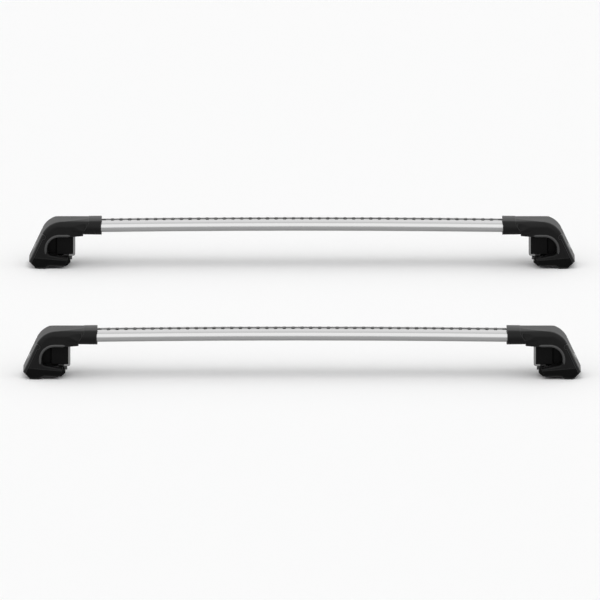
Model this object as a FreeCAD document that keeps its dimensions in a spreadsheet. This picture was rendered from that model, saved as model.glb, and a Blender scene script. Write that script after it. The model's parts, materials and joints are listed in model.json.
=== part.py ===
"""A pair of roof crossbars: two aerofoil bars, each on two clamp feet.

The frame has +Z up and the floor at z = 0. The bars run along X, one at -Y (front) and one at +Y
(rear), and the origin lies on the floor midway between the four feet. All lengths are millimetres.

One right-hand foot is modelled about the plane y = 0, with x = 0 at its collar's mouth, and moved out
to the bar's end. Its left-hand twin is the mirror image in the plane x = 0, and both are then placed
at each bar.
"""
import FreeCAD, Part
import math
import os
import re

import Sketcher
from FreeCAD import Vector

# Driving dimensions, in millimetres.
SIZES = {
    # The pair
    "bar_spread": 1100,         # between the two bars' centre planes
    # The bar
    "bar_half_length": 484,     # from the middle to the end hidden in the foot
    "bar_insert": 80,           # length of the bar inside the foot
    "bar_height": 83.3,         # of the bar's centre above the floor, at the collar's mouth
    "arch_rise": 2.7,           # of the bar's middle above its height at the mouths
    "chord": 76,
    "thickness": 23,
    "nose_radius": 9.5,
    "tail_radius": 6,
    "skin": 2.2,
    "slot_mouth": 11,           # clear width between the T-slot's lips
    "slot_width": 21,           # of the T-slot's channel
    "slot_depth": 6,            # of the T-slot's channel
    "lip_depth": 2.4,           # thickness of the T-slot's lips
    "strip_seat_width": 16,     # of the shallow seat above the lips
    "strip_seat_depth": 3.2,
    "web": 1.8,
    "chamber_rise": 3,          # of the middle chamber's floor above the bar's underside
    "chamber_width": 28,
    # The rubber strip
    "strip_flange": 1.1,
    "strip_gap": 0.3,
    "rib_pitch": 17.4,
    "rib_length": 8,
    "rib_width": 13,
    "rib_height": 3.1,          # above the flange
    "bulb_depth": 3,
    "bulb_width": 16,
    # The foot's outline, seen from the front; each x is measured outwards from the collar's mouth
    "collar_end_top": 27,       # where the collar's outer end meets its top
    "collar_end_bottom": 39,
    "collar_wall": 4,
    "mouth_hollow": 2.6,        # how far the mouth's edge is drawn back at mid height
    "mouth_curve": 60,          # radius of that hollow
    "collar_step": 0.9,         # of the collar's mouth outside the arm; half as much at its outer end
    "collar_end_curve": 9,
    "arm_start": 24,            # where the arm starts, inside the collar
    "arm_rise": 15.7,           # of the arm's top above the bar's centre
    "arm_drop": 19.3,           # of the arm's underside below the bar's centre, at the leg
    "shoulder_x": 109.6,
    "shoulder_rise": 11.3,      # above the bar's centre
    "shoulder_radius": 44,
    "tip_x": 147.5,
    "tip_z": 14,
    "toe_x": 137,               # foot of the outer end's bevel
    "floor_gap": 3,             # of the base's underside above the floor
    "leg_x": 110,               # inner side of the leg
    "window_radius": 24,
    "sill_radius": 7,
    "sill_outer_z": 29,         # the base's top at the leg
    "sill_inner_z": 21,         # the base's top at its inner end
    "sill_inner_x": 69,
    "base_inner_x": 76,         # the base's underside at its inner end
    "part_inner_z": 17,         # the seam between housing and base, at x = sill_inner_x
    "part_outer_z": 24,         # the same seam at x = tip_x
    # The foot's depth, from front to back
    "arm_depth": 84,
    "edge_radius": 10,
    "window_edge_radius": 3,
    "wall": 3.6,
    "side_wall": 8,             # of the leg, at the front and the back
    "arm_flare": 7,             # by which the arm is narrower, each side, where it leaves the collar
    "flare_end_x": 64,
    "scoop_depth": 4,
    "scoop_outer_x": 78,
    "scoop_inner_x": 32,
    "scoop_rise": 9.2,          # of the scoop's top above the bar's centre
    "scoop_drop": 9.3,          # of its bottom below the bar's centre
    "scoop_foot": 6,            # the scoop's length at its bottom
    # The carrier
    "tower_inner_x": 58.3,
    "tower_outer_x": 93,
    "tower_depth": 44,
    "tower_bottom_z": 27,
    "cradle_depth": 2.2,        # of the tower's top round the bar
    "tower_edge": 3,
    "web_depth": 30,
    "seat_block_x": 90,         # inner face of the block that takes the bolt
    "seat_face_x": 115,         # face under the bolt's washer
    "tray_outer_x": 129,        # outer end of the room round the bolt's head
    # The bracket
    "bracket_thickness": 4,
    "bracket_depth": 40,
    "bracket_toe_x": 67,
    # The rail pad
    "seat_inner_x": 94,
    "seat_outer_x": 108,
    "seat_rise": 5,             # of the pad's seat above the floor
    "pad_thickness": 2.6,
    "pad_inset": 1.5,           # of the pad's edge inside the base's
    "lobe_x": 116,              # inner end of the outer lobe's flat
    "finger_x": 86,
    "finger_rise": 4.5,         # of the pad's inner fingers above the floor
    # The clamp
    "bolt_z": 15.5,
    "bolt_radius": 4,
    "bolt_head_radius": 6.5,
    "bolt_head_length": 8,
    "bolt_socket": 6,           # across the flats
    "bolt_socket_depth": 4,
    "bolt_end_x": 60.5,
    "washer_radius": 8,
    "washer_thickness": 1.6,
    "jaw_inner_x": 64,
    "jaw_outer_x": 78,
    "jaw_depth": 36,
    "jaw_heel_z": 9,
    "jaw_nose": 3,
    "jaw_hook_x": 82,
    "jaw_hook_z": 2,
    "jaw_hook_thickness": 4,
    "jaw_travel": 6,
    # The end cover and its lock
    "cover_thickness": 5,
    "hinge_radius": 4.4,
    "hinge_pin_radius": 1.6,
    "hinge_pin_end": 6,         # from the pin's end to the side of the foot
    "hinge_along": 30.4,        # from the shoulder's corner to the hinge, along the slope
    "hinge_lug": 16,            # width of the housing's lug round the pin
    "seam": 0.5,
    "lock_drop": 31,            # along the slope, from hinge to lock
    "lock_radius": 6.6,
    "lock_depth": 12,
    "lock_proud": 0.8,
    "lock_boss_radius": 9.4,
    "cam_thickness": 3,
    "cam_width": 7,
    "cam_reach": 15,
    "key_slot_length": 7,
    "key_slot_width": 1.4,
    "key_slot_depth": 4,
    "catch_gap": 1.7,           # between the lock's boss and the catch beside it
    # Fasteners
    "screw_x": 69,
    "screw_y": 8,               # each side of the T-slot's centre
    "screw_radius": 3,
    "screw_head_radius": 5,
    "screw_head_length": 6,
    "screw_cover": 14,          # of the carrier's metal above the screw's head
    "plate_length": 20,
    "plate_width": 25,
    "plate_thickness": 4,
    "bracket_screw_radius": 2.5,
    "bracket_screw_head_radius": 4.5,
    "bracket_screw_head": 3,
    "bracket_screw_length": 8,
    "bracket_screw_low_z": 34,
    "bracket_screw_high_z": 54,
    "base_screw_radius": 2,
    "base_screw_head_radius": 3,
    "base_screw_head": 2.4,
    "base_screw_x": 122,
    "base_screw_length": 26,
    # Clearances
    "fit_gap": 0.3,             # between curved faces
    "run_gap": 0.05,            # of a pin or thread in its hole
    "slide_gap": 0.5,           # beside what slides
    "spare": 20,                # how far a cutting solid runs past what it cuts
    # The collar's seal
    "seal_width": 4,
    "seal_proud": 0.8,
    "seal_thickness": 2,
    "seal_gap": 0.2,
}

# Lengths worked out from the driving dimensions.
WORKED = {
    "mouth_x": "bar_half_length - bar_insert",
    "arm_top": "bar_height + arm_rise",
    "arm_under": "bar_height - arm_drop",
    "collar_bottom_z": "bar_height - thickness / 2 - collar_wall - fit_gap - collar_step / 2",
    "window_round": "min(window_radius; arm_under - sill_outer_z - sill_radius)",
    "under_slope": "(collar_bottom_z - arm_under) / (leg_x - arm_start)",
    "shoulder_z": "bar_height + shoulder_rise",
    "scoop_top_z": "bar_height + scoop_rise",
    "scoop_bottom_z": "bar_height - scoop_drop",
    "tower_top_z": "bar_height - thickness / 2 + cradle_depth",
    "base_screw_y": "(arm_depth - side_wall) / 2",
    "nose_y": "nose_radius - chord / 2",
    "tail_y": "chord / 2 - tail_radius",
    "nose_rise": "thickness / 2 - nose_radius",
    "tail_rise": "thickness / 2 - tail_radius",
    "skin_span": "tail_y - nose_y",
    "skin_share": "1 - nose_rise / tail_rise",
    "skin_square": "skin_span^2 - nose_rise * (tail_radius - nose_radius)",
    "crown_to_tail": "skin_square / (skin_span + sqrt(skin_span^2 - skin_share * skin_square))",
    "skin_radius": "(crown_to_tail^2 / tail_rise + tail_radius + thickness / 2) / 2",
    "skin_drop": "skin_radius - thickness / 2",
    "slot_y": "tail_y - crown_to_tail",
    "arch_radius": "(mouth_x^2 + arch_rise^2) / (2 * arch_rise)",
    "arch_axis_z": "bar_height + arch_rise - arch_radius",
    "arch_sin": "mouth_x / arch_radius",
    "arch_cos": "sqrt(1 - arch_sin^2)",
    "end_length": "bar_insert / arch_cos",
    "plate_x": "(screw_x + (thickness / 2 - chamber_rise) * arch_sin) / arch_cos",
    "slope_run": "tip_x - shoulder_x",
    "slope_fall": "shoulder_z - tip_z",
    "slope_length": "sqrt(slope_run^2 + slope_fall^2)",
    "slope_cos": "slope_run / slope_length",
    "slope_sin": "slope_fall / slope_length",
    "part_slope": "(part_outer_z - part_inner_z) / (tip_x - sill_inner_x)",
    "hinge_x": "shoulder_x + slope_cos * hinge_along - slope_sin * hinge_radius",
    "hinge_z": "shoulder_z - slope_sin * hinge_along - slope_cos * hinge_radius",
    "lock_x": "shoulder_x + slope_cos * (hinge_along + lock_drop)",
    "lock_z": "shoulder_z - slope_sin * (hinge_along + lock_drop)",
    "crown_z": "bar_height + arch_rise + thickness / 2",
    "seat_z": "crown_z - strip_seat_depth",
    "lip_z": "seat_z - lip_depth",
    "channel_z": "lip_z - slot_depth",
    "bar_z": "bar_height + arch_rise",
    "bar_underside_z": "bar_height - thickness / 2",
    "collar_grow": "collar_wall + fit_gap",
    "tray_depth": "tower_depth + 2 * fit_gap",
    "seat_floor_z": "seat_rise + pad_thickness + wall * 0.6",
    "toe_bottom_z": "tower_bottom_z - bracket_thickness",
    "jaw_top_z": "toe_bottom_z - fit_gap",
    "bracket_x": "tower_inner_x - bracket_thickness",
    "screw_seat_z": "bar_underside_z - screw_cover",
}

doc = FreeCAD.newDocument("roof_crossbars")
sheet = doc.addObject("Spreadsheet::Sheet", "Sizes")
for row, (size, value) in enumerate(SIZES.items(), start=1):
    sheet.set(f"A{row}", size)
    sheet.set(f"B{row}", str(value))
    sheet.setAlias(f"B{row}", size)
doc.recompute()
worked = doc.addObject("App::VarSet", "Worked")


def bound(text):
    """The expression text with each size's name replaced by its place in the document."""
    def place(match):
        name = match.group(0)
        if name in SIZES:
            return "Sizes." + name
        if name in WORKED:
            return "Worked." + name
        return name
    return re.sub(r"[a-z][a-z_]*", place, str(text))


def number(text):
    """The present value of an expression in the sizes."""
    return float(worked.evalExpression(bound(text)))


for name, text in WORKED.items():
    worked.addProperty("App::PropertyFloat", name)
    worked.setExpression(name, bound(text))
    doc.recompute()


def new_body(name):
    return doc.addObject("PartDesign::Body", name)


def set_size(obj, prop, text):
    """Bind one property of an object to the sizes."""
    obj.setExpression(prop, bound(text))


def new_sketch(body, role, level="0"):
    """A sketch on one of the body's origin planes, raised by level along the plane's normal."""
    sketch = body.newObject("Sketcher::SketchObject", body.Name + "_sketch")
    plane = [feature for feature in body.Origin.OriginFeatures if feature.Role == role][0]
    sketch.AttachmentSupport = [(plane, "")]
    sketch.MapMode = "FlatFace"
    set_size(sketch, "AttachmentOffset.Base.z", level)
    doc.recompute()
    return sketch


def pin_point(sketch, geometry, position, x, y):
    """Hold one point of a sketch at (x, y), both expressions in the sizes."""
    for kind, text in (("DistanceX", x), ("DistanceY", y)):
        index = sketch.addConstraint(
            Sketcher.Constraint(kind, -1, 1, geometry, position, number(text)))
        sketch.setExpression(f"Constraints[{index}]", bound(text))


def add_arc(sketch, first, middle, last):
    """Draw an arc through three points; gives its index and which of its ends the first point is.

    A sketch counts an arc's ends counter-clockwise, so a clockwise arc is drawn from its last point.
    """
    if (middle - first).cross(last - middle).z > 0:
        return sketch.addGeometry(Part.Arc(first, middle, last)), 1
    return sketch.addGeometry(Part.Arc(last, middle, first)), 2


def add_outline(sketch, corners):
    """Draw a closed outline of straight sides through corners (x, y) or (x, y, rounding radius)."""
    count = len(corners)
    points = [Vector(number(corner[0]), number(corner[1]), 0) for corner in corners]
    radii = [number(corner[2]) if len(corner) > 2 else 0 for corner in corners]
    starts, ends, centres = [], [], []
    for i in range(count):
        back = (points[i - 1] - points[i]).normalize()
        ahead = (points[(i + 1) % count] - points[i]).normalize()
        half = back.getAngle(ahead) / 2
        reach = radii[i] / math.tan(half)
        ends.append(points[i] + back * reach)
        starts.append(points[i] + ahead * reach)
        middle = (back + ahead).normalize()
        centres.append(points[i] + middle * (radii[i] / math.sin(half)))
    lines = []
    for i in range(count):
        lines.append(sketch.addGeometry(Part.LineSegment(starts[i], ends[(i + 1) % count])))
    for i, corner in enumerate(corners):
        before, after = lines[i - 1], lines[i]
        if len(corner) == 2:
            sketch.addConstraint(Sketcher.Constraint("Coincident", before, 2, after, 1))
            pin_point(sketch, after, 1, corner[0], corner[1])
            continue
        centre = centres[i]
        middle = centre + (points[i] - centre).normalize() * radii[i]
        arc, first = add_arc(sketch, ends[i], middle, starts[i])
        vertex = sketch.addGeometry(Part.Point(points[i]), True)
        pin_point(sketch, vertex, 1, corner[0], corner[1])
        sketch.addConstraint(Sketcher.Constraint("Tangent", before, 2, arc, first))
        sketch.addConstraint(Sketcher.Constraint("Tangent", after, 1, arc, 3 - first))
        sketch.addConstraint(Sketcher.Constraint("PointOnObject", vertex, 1, before))
        sketch.addConstraint(Sketcher.Constraint("PointOnObject", vertex, 1, after))
        index = sketch.addConstraint(Sketcher.Constraint("Radius", arc, radii[i]))
        sketch.setExpression(f"Constraints[{index}]", bound(corner[2]))
    doc.recompute()
    return sketch


def outline(body, role, corners, level="0"):
    """A sketch of one closed outline on one of the body's origin planes."""
    return add_outline(new_sketch(body, role, level), corners)


def box_corners(x_low, x_high, y_low, y_high):
    return [(x_low, y_low), (x_high, y_low), (x_high, y_high), (x_low, y_high)]


def add_circle(sketch, x, y, radius):
    """Draw a circle at (x, y)."""
    shape = Part.Circle(Vector(number(x), number(y), 0), Vector(0, 0, 1), number(radius))
    circle = sketch.addGeometry(shape)
    pin_point(sketch, circle, 3, x, y)
    index = sketch.addConstraint(Sketcher.Constraint("Radius", circle, number(radius)))
    sketch.setExpression(f"Constraints[{index}]", bound(radius))
    doc.recompute()
    return sketch


def circles(body, role, places, radius, level="0"):
    """A sketch of equal circles at places (x, y)."""
    sketch = new_sketch(body, role, level)
    for x, y in places:
        add_circle(sketch, x, y, radius)
    return sketch


def extrude(body, kind, sketch, length, symmetric=False, backwards=False):
    """Pad or pocket a sketch by length, to one side of its plane or half to each side."""
    feature = body.newObject("PartDesign::" + kind, f"{body.Name}_{kind}")
    feature.Profile = sketch
    feature.SideType = "Symmetric" if symmetric else "One side"
    feature.Reversed = backwards
    set_size(feature, "Length", length)
    before = body.Shape.Volume if not body.Shape.isNull() else 0
    doc.recompute()
    if abs(body.Shape.Volume - before) < 1e-3:
        raise RuntimeError(f"{feature.Name} changes nothing")
    return feature


def loft(body, kind, first, last):
    """Join two sketches by a straight-sided loft that adds to or cuts the body."""
    feature = body.newObject("PartDesign::" + kind, f"{body.Name}_{kind}")
    feature.Profile = first
    feature.Sections = [last]
    feature.Ruled = True
    before = body.Shape.Volume if not body.Shape.isNull() else 0
    doc.recompute()
    if abs(body.Shape.Volume - before) < 1e-3:
        raise RuntimeError(f"{feature.Name} changes nothing")
    return feature


def round_edges(body, radius, wanted):
    """Fillet the edges of the body's last feature for which wanted(middle, edge) is true."""
    base = body.Tip
    names = []
    for index, edge in enumerate(base.Shape.Edges, start=1):
        middle = edge.valueAt((edge.FirstParameter + edge.LastParameter) / 2)
        if wanted(middle, edge):
            names.append(f"Edge{index}")
    if not names:
        raise RuntimeError(f"{body.Name} has no edge to round")
    fillet = body.newObject("PartDesign::Fillet", body.Name + "_fillet")
    fillet.Base = (base, names)
    set_size(fillet, "Radius", radius)
    doc.recompute()
    return fillet


def add_wing(sketch, grow, centre):
    """Draw the bar's aerofoil, grown outwards by grow, with its chord at height centre.

    Four arcs meet smoothly: the upper skin, the nose at -Y, the lower skin and the tail at +Y. Each
    joint lies on the line through the centres of its two arcs.
    """
    joints = {}
    for end in ("nose", "tail"):
        share = f"({end}_radius + {grow}) / (skin_radius - {end}_radius)"
        across = f"{end}_y + ({end}_y - slot_y) * {share}"
        for side, up in (("top", "+"), ("low", "-")):
            joints[end + side] = (across, f"{centre} {up} skin_drop * {share}")
    skin, nose, tail = (f"{name}_radius + {grow}" for name in ("skin", "nose", "tail"))
    half = f"thickness / 2 + {grow}"
    arcs = (("nosetop", ("slot_y", f"{centre} + {half}"), "tailtop", skin),
            ("nosetop", (f"nose_y - ({nose})", centre), "noselow", nose),
            ("noselow", ("slot_y", f"{centre} - ({half})"), "taillow", skin),
            ("tailtop", (f"tail_y + {tail}", centre), "taillow", tail))

    def point(texts):
        return Vector(number(texts[0]), number(texts[1]), 0)

    pinned = {}
    for start, middle, finish, radius in arcs:
        arc, first = add_arc(sketch, point(joints[start]), point(middle), point(joints[finish]))
        for name, end in ((start, first), (finish, 3 - first)):
            if name in pinned:
                sketch.addConstraint(Sketcher.Constraint("Coincident", *pinned[name], arc, end))
            else:
                pinned[name] = (arc, end)
                pin_point(sketch, arc, end, *joints[name])
        index = sketch.addConstraint(Sketcher.Constraint("Radius", arc, number(radius)))
        sketch.setExpression(f"Constraints[{index}]", bound(radius))
    doc.recompute()
    return sketch


def wing(body, grow, centre="bar_height + arch_rise", level="0"):
    return add_wing(new_sketch(body, "YZ_Plane", level), grow, centre)


def along_arch(body, kind, sketch, reach, both_ways=True, backwards=False):
    """Turn a mid-span section about the arch's far axis, so that it runs to x = reach."""
    axis_line = sketch.addGeometry(
        Part.LineSegment(Vector(-10, number("arch_axis_z"), 0),
                         Vector(10, number("arch_axis_z"), 0)), True)
    pin_point(sketch, axis_line, 1, "-10", "arch_axis_z")
    pin_point(sketch, axis_line, 2, "10", "arch_axis_z")
    feature = body.newObject("PartDesign::" + kind, f"{body.Name}_{kind}")
    feature.Profile = sketch
    lines = [i for i in range(sketch.GeometryCount) if sketch.getConstruction(i)]
    straight = [i for i in lines if sketch.Geometry[i].TypeId == "Part::GeomLineSegment"]
    feature.ReferenceAxis = (sketch, [f"Axis{straight.index(axis_line)}"])
    feature.Midplane = both_ways
    feature.Reversed = backwards
    times = 2 if both_ways else 1
    set_size(feature, "Angle", f"{times} * asin(({reach}) / arch_radius)")
    before = body.Shape.Volume if not body.Shape.isNull() else 0
    doc.recompute()
    if abs(body.Shape.Volume - before) < 1e-3:
        raise RuntimeError(f"{feature.Name} changes nothing")
    return feature


def mirrored_corners(corners, centre):
    """Corners (y, z above centre) followed by their mirror images below centre, in order round."""
    upper = [(y, f"{centre} + {z}", *rest) for y, z, *rest in corners]
    lower = [(y, f"{centre} - ({z})", *rest) for y, z, *rest in reversed(corners)]
    return upper + lower


def slot_corners():
    """The T-slot's section: seat, mouth between the lips, and channel."""
    right = [("strip_seat_width", "crown_z + 5"), ("strip_seat_width", "seat_z"),
             ("slot_mouth", "seat_z"), ("slot_mouth", "lip_z"),
             ("slot_width", "lip_z"), ("slot_width", "channel_z")]
    return both_sides(right)


def both_sides(right):
    """Corners (full width, z) on the right of the T-slot's centre, then on its left, in order round."""
    corners = [(f"slot_y + {width} / 2", z) for width, z in right]
    return corners + [(f"slot_y - {width} / 2", z) for width, z in reversed(right)]


def box(name, x, y, z):
    """A Part::Box from (low, high) pairs of expressions."""
    solid = doc.addObject("Part::Box", name)
    for prop, axis, (low, high) in (("Length", "x", x), ("Width", "y", y), ("Height", "z", z)):
        set_size(solid, prop, f"({high}) - ({low})")
        set_size(solid, f"Placement.Base.{axis}", low)
    return solid


def deep_box(name, x, depth, z):
    """A box centred on the foot's middle plane."""
    return box(name, x, (f"-({depth}) / 2", f"({depth}) / 2"), z)


TURNS = {"x": (Vector(0, 1, 0), 90), "y": (Vector(1, 0, 0), -90), "z": (Vector(0, 0, 1), 0)}


def rod(name, axis, start, length, radius):
    """A cylinder that starts at start (three expressions) and runs along +X, +Y or +Z."""
    solid = doc.addObject("Part::Cylinder", name)
    set_size(solid, "Radius", radius)
    set_size(solid, "Height", length)
    direction, angle = TURNS[axis]
    solid.Placement = FreeCAD.Placement(Vector(), FreeCAD.Rotation(direction, angle))
    for letter, text in zip("xyz", start):
        set_size(solid, f"Placement.Base.{letter}", text)
    return solid


def cross_rod(name, x, z, depth, radius):
    """A cylinder along Y, centred on the foot's middle plane."""
    return rod(name, "y", (x, f"-({depth}) / 2", z), depth, radius)


def prism(name, corners, depth):
    """An outline in the XZ plane, extruded half to the front and half to the back."""
    body = new_body(name)
    extrude(body, "Pad", outline(body, "XZ_Plane", corners), depth, symmetric=True)
    return body


def joined(name, solids):
    result = doc.addObject("Part::MultiFuse", name)
    result.Shapes = solids
    doc.recompute()
    return result


def cut(name, solid, tools):
    """The solid less all the tools."""
    result = doc.addObject("Part::Cut", name)
    result.Base = solid
    result.Tool = tools[0] if len(tools) == 1 else joined(name + "_tools", tools)
    doc.recompute()
    return result


def common(name, first, second):
    result = doc.addObject("Part::Common", name)
    result.Base = first
    result.Tool = second
    doc.recompute()
    return result


def mirror(name, solid, normal):
    """The mirror image of a solid in the plane through the origin with that normal."""
    result = doc.addObject("Part::Mirroring", name)
    result.Source = solid
    result.Normal = normal
    doc.recompute()
    return result


def on_slope(solid):
    """Place a solid modelled about +Z so that +Z leaves the slope at the lock."""
    solid.Placement = FreeCAD.Placement(Vector(), FreeCAD.Rotation(Vector(0, 1, 0), 60))
    set_size(solid, "Placement.Base.x", "lock_x")
    set_size(solid, "Placement.Base.z", "lock_z")
    set_size(solid, "Placement.Rotation.Angle", "atan2(slope_fall; slope_run)")
    doc.recompute()
    return solid


def carrier_screw_rods(name, start, length, radius):
    """Two upright cylinders at the carrier's screws."""
    return [rod(f"{name}_{side}", "z", ("screw_x", f"slot_y {sign} screw_y", start), length, radius)
            for side, sign in (("front", "-"), ("back", "+"))]


# The bar and its strip

def bar_hollows():
    """The outlines of the bar's hollows: the T-slot and three chambers."""
    front = [("slot_y - strip_seat_width / 2 - web", "nose_radius - skin"),
             ("skin - chord / 2", "nose_radius - skin", "(nose_radius - skin) * 0.9")]
    rear = [("chord / 2 - skin", "tail_radius - skin", "(tail_radius - skin) * 0.9"),
            ("slot_y + chamber_width / 2 + web", "thickness / 2 - skin - web / 2")]
    middle = box_corners("slot_y - chamber_width / 2", "slot_y + chamber_width / 2",
                         "bar_z - thickness / 2 + chamber_rise", "channel_z - web")
    return [slot_corners(), mirrored_corners(front, "bar_z"), mirrored_corners(rear, "bar_z"), middle]


def beyond_mouth(name, body):
    """Place a body modelled from x = 0 so that it carries straight on from the arch at the mouth.

    Like every piece of a foot, it then has x = 0 at the mouth.
    """
    placed = doc.addObject("Part::Compound", name)
    placed.Links = [body]
    placed.Placement = FreeCAD.Placement(Vector(), FreeCAD.Rotation(Vector(0, 1, 0), 1))
    set_size(placed, "Placement.Base.x", "-bar_z * arch_sin")
    set_size(placed, "Placement.Base.z", "arch_axis_z * (1 - arch_cos)")
    set_size(placed, "Placement.Rotation.Angle", "asin(arch_sin)")
    doc.recompute()
    return placed


def at_mouth(solid):
    """Move a piece of a foot from x = 0 out to the mouth of the right-hand foot."""
    moved = doc.addObject("Part::Compound", "right_" + solid.Name)
    moved.Links = [solid]
    set_size(moved, "Placement.Base.x", "mouth_x")
    doc.recompute()
    return moved


def make_bar():
    """An arched length between the two mouths, and a straight end inside each foot."""
    middle = new_body("bar_middle")
    along_arch(middle, "Revolution", wing(middle, "0"), "mouth_x")
    end = new_body("bar_end")
    extrude(end, "Pad", wing(end, "0"), "end_length")
    for corners in bar_hollows():
        along_arch(middle, "Groove", outline(middle, "YZ_Plane", corners), "mouth_x + spare")
        extrude(end, "Pocket", outline(end, "YZ_Plane", corners), "end_length", backwards=True)
    holes = carrier_screw_rods("bar_hole", "screw_seat_z",
                               "bar_underside_z + chamber_rise - screw_seat_z", "screw_radius + fit_gap")
    right = at_mouth(cut("drilled_bar_end", beyond_mouth("placed_bar_end", end), holes))
    left = mirror("bar_left_end", right, Vector(1, 0, 0))
    return joined("bar", [middle, right, left])


def make_strip():
    body = new_body("slot_strip")
    top = "seat_z + run_gap + strip_flange"
    right = [("(strip_seat_width - 2 * strip_gap)", top),
             ("(strip_seat_width - 2 * strip_gap)", "seat_z + run_gap"),
             ("(slot_mouth - 2 * strip_gap)", "seat_z + run_gap"),
             ("(slot_mouth - 2 * strip_gap)", "lip_z - strip_gap"),
             ("bulb_width", "lip_z - strip_gap"),
             ("bulb_width", "lip_z - strip_gap - bulb_depth")]
    section = outline(body, "YZ_Plane", both_sides(right))
    along_arch(body, "Revolution", section, "mouth_x - strip_gap")
    side = [("-rib_length / 2", f"{top} - run_gap"), ("rib_length / 2", f"{top} - run_gap"),
            ("rib_length / 2 - rib_height / 2", f"{top} + rib_height"),
            ("rib_height / 2 - rib_length / 2", f"{top} + rib_height")]
    sketch = outline(body, "XZ_Plane", side, level="-slot_y")
    rib = extrude(body, "Pad", sketch, "rib_width", symmetric=True)
    for backwards in (False, True):
        pattern = body.newObject("PartDesign::PolarPattern", "ribs")
        pattern.Originals = [rib]
        pattern.Axis = (section, ["Axis0"])
        pattern.Reversed = backwards
        last = "floor((mouth_x - rib_length) / rib_pitch)"
        set_size(pattern, "Occurrences", f"{last} + 1")
        set_size(pattern, "Angle", f"{last} * rib_pitch / arch_radius * 180 / pi")
        pattern.Mode = "Extent"
        body.Tip = pattern
        doc.recompute()
    return body


# The foot's shell

def slope_point(along, depth):
    """A point in the XZ plane, along the slope from the hinge and depth below the slope's face."""
    rise = f"(hinge_radius - ({depth}))"
    return (f"hinge_x + slope_cos * ({along}) + slope_sin * {rise}",
            f"hinge_z - slope_sin * ({along}) + slope_cos * {rise}")


def arm_underside(x):
    return f"arm_under + under_slope * (leg_x - {x})"


def seam_height(x):
    return f"part_inner_z + part_slope * ({x} - sill_inner_x)"


def make_arch():
    """The whole of a foot but its collar: arm, leg and base in one solid."""
    body = prism("arch_block", [
        ("arm_start", "arm_top"), ("shoulder_x", "shoulder_z", "shoulder_radius"), ("tip_x", "tip_z"),
        ("toe_x", "floor_gap"), ("base_inner_x", "floor_gap"), ("sill_inner_x", "sill_inner_z"),
        ("leg_x", "sill_outer_z", "sill_radius"), ("leg_x", "arm_under", "window_round"),
        ("arm_start", "collar_bottom_z")], "arm_depth")
    half = number("arm_depth") / 2
    start, under, leg = number("arm_start") + 1, number("collar_bottom_z") + 1, number("leg_x")
    floor, sill = number("floor_gap") + 1, number("sill_inner_z")

    def on_outside(middle, edge):
        upper = middle.z > under + 10
        lower = middle.x > leg + 10 and middle.z > floor
        return abs(abs(middle.y) - half) < 1e-6 and middle.x > start and (upper or lower)

    def on_window(middle, edge):
        inside = sill < middle.z < under and start < middle.x < leg + 1
        return abs(abs(middle.y) - half) < 1e-6 and inside

    round_edges(body, "edge_radius", on_outside)
    round_edges(body, "window_edge_radius", on_window)
    roof = new_body("arm_roof")
    extrude(roof, "Pad", wing(roof, "collar_grow", "bar_height", "arm_start"), "tip_x - arm_start")
    below = new_body("arm_below")
    near = [("collar_end_bottom - 1", "arm_flare - arm_depth / 2"), ("flare_end_x", "-arm_depth / 2"),
            ("tip_x", "-arm_depth / 2")]
    plan = near + [(x, f"-({y})") for x, y in reversed(near)]
    extrude(below, "Pad", outline(below, "XY_Plane", plan), "bar_height")
    return common("arch_form", body, joined("arm_limit", [roof, below]))


def make_scoops():
    """The hollows in the arm's front and back, beside the collar."""
    body = new_body("front_scoop")

    def triangle(level, reach, depth):
        front = "-arm_depth / 2 - 1"
        corners = [("scoop_inner_x", front), (f"scoop_inner_x + {reach}", front),
                   ("scoop_inner_x", f"{depth} - arm_depth / 2")]
        return outline(body, "XY_Plane", corners, level)

    loft(body, "AdditiveLoft", triangle("scoop_bottom_z", "scoop_foot", "scoop_depth / 4"),
         triangle("scoop_top_z", "scoop_outer_x - scoop_inner_x", "scoop_depth"))
    return [body, mirror("rear_scoop", body, Vector(0, 1, 0))]


def make_collar():
    """The sleeve round the bar, with a hollowed mouth and a waved outer end."""
    body = new_body("collar")
    loft(body, "AdditiveLoft", wing(body, "(collar_grow + collar_step)", "bar_height"),
         wing(body, "(collar_grow + collar_step / 2)", "bar_height", "collar_end_bottom + 1"))
    high, low = "bar_height + thickness + spare", "bar_height - thickness - spare"
    far = "collar_end_bottom + spare"
    end = [("collar_end_top", high), (far, high), (far, low), ("collar_end_bottom", low),
           ("collar_end_bottom", "bar_height - collar_end_curve", "collar_end_curve"),
           ("collar_end_top", "bar_height + collar_end_curve", "collar_end_curve")]
    mouth_reach = "(thickness / 2 + collar_grow + 2)"
    mouth = [("-spare", f"bar_height + {mouth_reach}"),
             ("-spare", f"bar_height - {mouth_reach}"),
             ("0", f"bar_height - {mouth_reach}"),
             ("2 * mouth_hollow", "bar_height", "mouth_curve"),
             ("0", f"bar_height + {mouth_reach}")]
    for corners in (end, mouth):
        extrude(body, "Pocket", outline(body, "XZ_Plane", corners), "chord + 2 * spare", symmetric=True)
    return body


def make_bore():
    """The room for the bar's end and its running clearance."""
    body = new_body("bar_room")
    extrude(body, "Pad", wing(body, "fit_gap", level="-spare"), "spare + end_length + fit_gap")
    return beyond_mouth("placed_bar_room", body)


def make_below_seam():
    corners = [("arm_start", "-spare"), ("tip_x + spare", "-spare"),
               ("tip_x + spare", seam_height("(tip_x + spare)")),
               ("arm_start", seam_height("arm_start"))]
    return prism("below_seam", corners, "arm_depth + spare")


def make_cover_room():
    """What the end cover and its hinge sweep, as a cutting solid."""
    top, deep = "-(hinge_radius + seam)", "cover_thickness + seam"
    corners = [slope_point(top, "-spare"), slope_point("slope_length", "-spare"),
               slope_point("slope_length", deep), slope_point("0", deep),
               slope_point("0", "hinge_radius"), slope_point(top, "hinge_radius")]
    return prism("cover_room", corners, "arm_depth + spare")


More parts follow.
